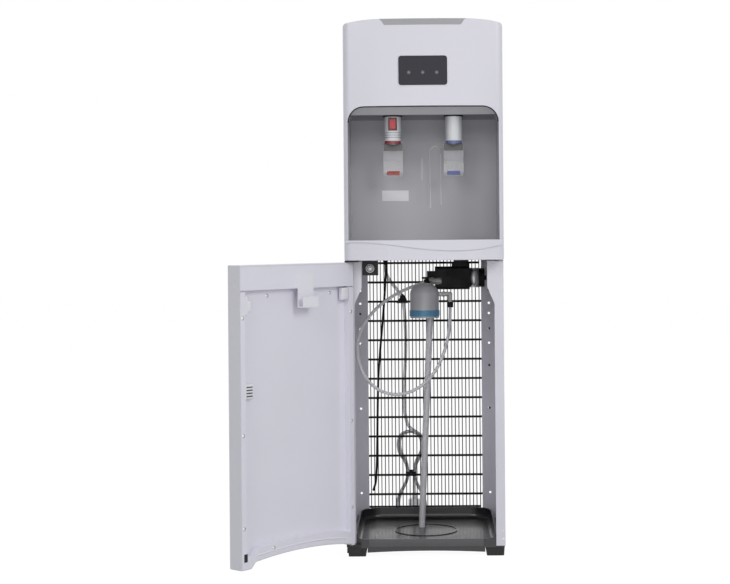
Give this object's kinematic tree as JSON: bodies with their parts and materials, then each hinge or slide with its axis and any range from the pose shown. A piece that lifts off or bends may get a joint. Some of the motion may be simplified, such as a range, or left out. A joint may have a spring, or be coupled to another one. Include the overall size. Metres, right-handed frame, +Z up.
{
  "type": "bottom load water cooler",
  "caption": "Free-standing water cooler with a bottle bay behind a hinged door, a pump and probe, hot and cold taps in an alcove, and a drip tray.",
  "frame": {"origin": "on the floor, under the middle of the cabinet's width and of its depth without door and head front", "axes": "+X to the right of someone facing the taps, +Y to the back, +Z up"},
  "size_m": [0.5111, 0.6291, 1.0465],
  "materials": {
    "white_metal": "smooth semi-gloss powder coat",
    "white_plastic": "moulded, semi-gloss",
    "door_white": "smooth semi-gloss powder coat",
    "panel_white": "moulded, fine satin",
    "insert_grey": "satin",
    "alcove_grey": "moulded, fine texture",
    "tray_white": "moulded, semi-gloss",
    "grille_grey": "satin",
    "display_glass": "polished dark window",
    "indicator_lens": "clear lens, unlit",
    "circuit_board": "glass-fibre board",
    "tap_silver": "silver moulding",
    "hot_red": "moulded red",
    "cold_blue": "moulded blue",
    "paddle_clear": "smoked translucent",
    "pin_steel": "drawn wire",
    "zinc_steel": "zinc plated",
    "hanger_white": "powder coat",
    "base_black": "moulded, satin",
    "switch_black": "moulded",
    "plunger_grey": "moulded",
    "condenser_black": "black gloss enamel",
    "bracket_black": "black enamel",
    "pump_black": "moulded, satin",
    "motor_black": "black enamel",
    "rubber_black": "matte",
    "silicone": "translucent silicone",
    "elbow_clear": "translucent",
    "probe_grey": "moulded, semi-gloss",
    "probe_blue": "moulded",
    "probe_white": "translucent moulding",
    "compressor_black": "black enamel",
    "tank_steel": "drawn stainless steel",
    "galvanised": "galvanised sheet",
    "foam_white": "expanded foam",
    "cord_grey": "matte cable sheath",
    "rocker_red": "moulded",
    "rocker_green": "moulded"
  },
  "bodies": {
    "cabinet": {"right_side_panel": "white_metal", "left_side_panel": "white_metal", "base_tray": "base_black", "feet": "base_black", "mid_shelf": "galvanised", "head_fascia": "white_plastic", "alcove_liner": "alcove_grey", "top_cover": "white_plastic", "top_insert": "insert_grey", "display_window": "display_glass", "indicator_lights": "indicator_lens", "control_board": "circuit_board", "rear_cover": "white_plastic", "hot_tap_body": "tap_silver", "cold_tap_body": "tap_silver", "hot_nozzle_ring": "hot_red", "cold_nozzle_ring": "cold_blue", "paddle_pins": "pin_steel", "hinge_brackets": "zinc_steel", "switch_block": "switch_black", "condenser_tube": "condenser_black", "condenser_wires": "condenser_black", "condenser_brackets": "bracket_black", "refrigerant_pipe": "rubber_black", "pump_body": "pump_black", "pump_motor": "motor_black", "pump_bracket": "rubber_black", "inlet_elbow": "elbow_clear", "suction_hose": "silicone", "hose_clamps": "rubber_black", "probe_cap": "probe_grey", "probe_ring": "probe_blue", "probe_tube": "probe_white", "probe_fitting": "elbow_clear", "compressor": "compressor_black", "compressor_grommets": "rubber_black", "hot_tank": "tank_steel", "tank_shelf": "galvanised", "cold_tank": "tank_steel", "cold_tank_insulation": "foam_white", "water_hoses": "silicone", "cord_gland": "switch_black", "cord_clip": "switch_black", "power_cord": "cord_grey", "cord_hank": "cord_grey", "cord_tie": "switch_black", "plug": "cord_grey"},
    "door": {"door_skin": "door_white", "door_inner_panel": "panel_white", "door_top_cap": "white_plastic", "door_screws": "zinc_steel", "probe_hanger": "hanger_white"},
    "hot_lever": {"hot_paddle": "paddle_clear"},
    "cold_lever": {"cold_paddle": "paddle_clear"},
    "child_lock": {"child_lock_button": "hot_red"},
    "tray": {"drip_tray": "tray_white"},
    "grille": {"drip_grille": "grille_grey"},
    "hot_rocker": {"hot_switch": "rocker_red"},
    "cold_rocker": {"cold_switch": "rocker_green"},
    "plunger": {"switch_plunger": "plunger_grey"}
  },
  "joints": [
    {"name": "door_hinge", "type": "hinge", "parent": "cabinet", "child": "door", "pos_m": [-0.15, -0.1695, 0], "axis": [0, 0, 1], "range_deg": [-3, 129]},
    {"name": "hot_lever_hinge", "type": "hinge", "parent": "cabinet", "child": "hot_lever", "pos_m": [-0.06, -0.1115, 0.82], "axis": [1, 0, 0], "range_deg": [0, 12], "stiffness_Nm_per_rad": 0.08, "springref_deg": -5.73},
    {"name": "cold_lever_hinge", "type": "hinge", "parent": "cabinet", "child": "cold_lever", "pos_m": [0.06, -0.1115, 0.82], "axis": [1, 0, 0], "range_deg": [0, 12], "stiffness_Nm_per_rad": 0.08, "springref_deg": -5.73},
    {"name": "child_lock_slide", "type": "slide", "parent": "cabinet", "child": "child_lock", "axis": [0, 1, 0], "range_m": [0, 0.0025], "stiffness_N_per_m": 300, "springref_m": -0.002},
    {"name": "tray_lift", "type": "slide", "parent": "cabinet", "child": "tray", "axis": [0, 0, 1], "range_m": [0, 0.06]},
    {"name": "grille_lift", "type": "slide", "parent": "tray", "child": "grille", "axis": [0, 0, 1], "range_m": [0, 0.03]},
    {"name": "hot_switch_rock", "type": "hinge", "parent": "cabinet", "child": "hot_rocker", "pos_m": [-0.022, 0.1775, 0.93], "axis": [1, 0, 0], "range_deg": [-14, 0]},
    {"name": "cold_switch_rock", "type": "hinge", "parent": "cabinet", "child": "cold_rocker", "pos_m": [0.022, 0.1775, 0.93], "axis": [1, 0, 0], "range_deg": [-14, 0]},
    {"name": "door_switch_slide", "type": "slide", "parent": "cabinet", "child": "plunger", "axis": [0, 1, 0], "range_m": [0, 0.003], "stiffness_N_per_m": 200, "springref_m": -0.002}
  ]
}
